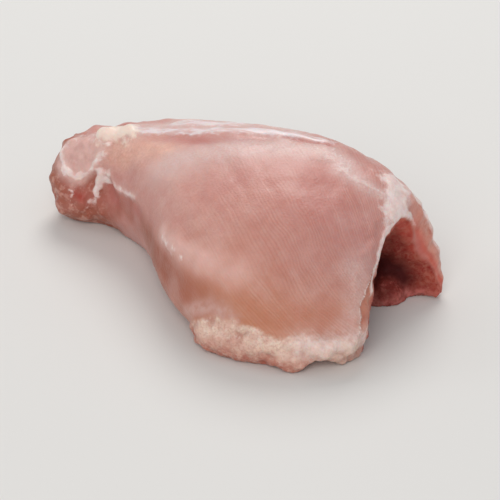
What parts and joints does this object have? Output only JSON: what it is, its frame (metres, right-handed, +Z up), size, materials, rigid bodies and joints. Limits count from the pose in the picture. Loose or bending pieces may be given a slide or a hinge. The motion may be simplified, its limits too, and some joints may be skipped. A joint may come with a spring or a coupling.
{
  "type": "raw chicken thigh",
  "caption": "Raw skinless chicken thigh: a smooth dome of meat that narrows to the knee, with an arched hollow at the hip end and a lumpy strip of fat along one edge.",
  "frame": {"origin": "on the surface it rests on, under the middle of the piece's bounding box", "axes": "+X from the knee to the hip, +Z up from the base to the dome, -Y to the side of the fat strip"},
  "size_m": [0.123, 0.0752, 0.0418],
  "materials": {
    "raw_flesh": "wet raw flesh, soft sheen, with cream fat and pale membrane on it"
  },
  "bodies": {
    "root": {"thigh": "raw_flesh"}
  },
  "joints": []
}
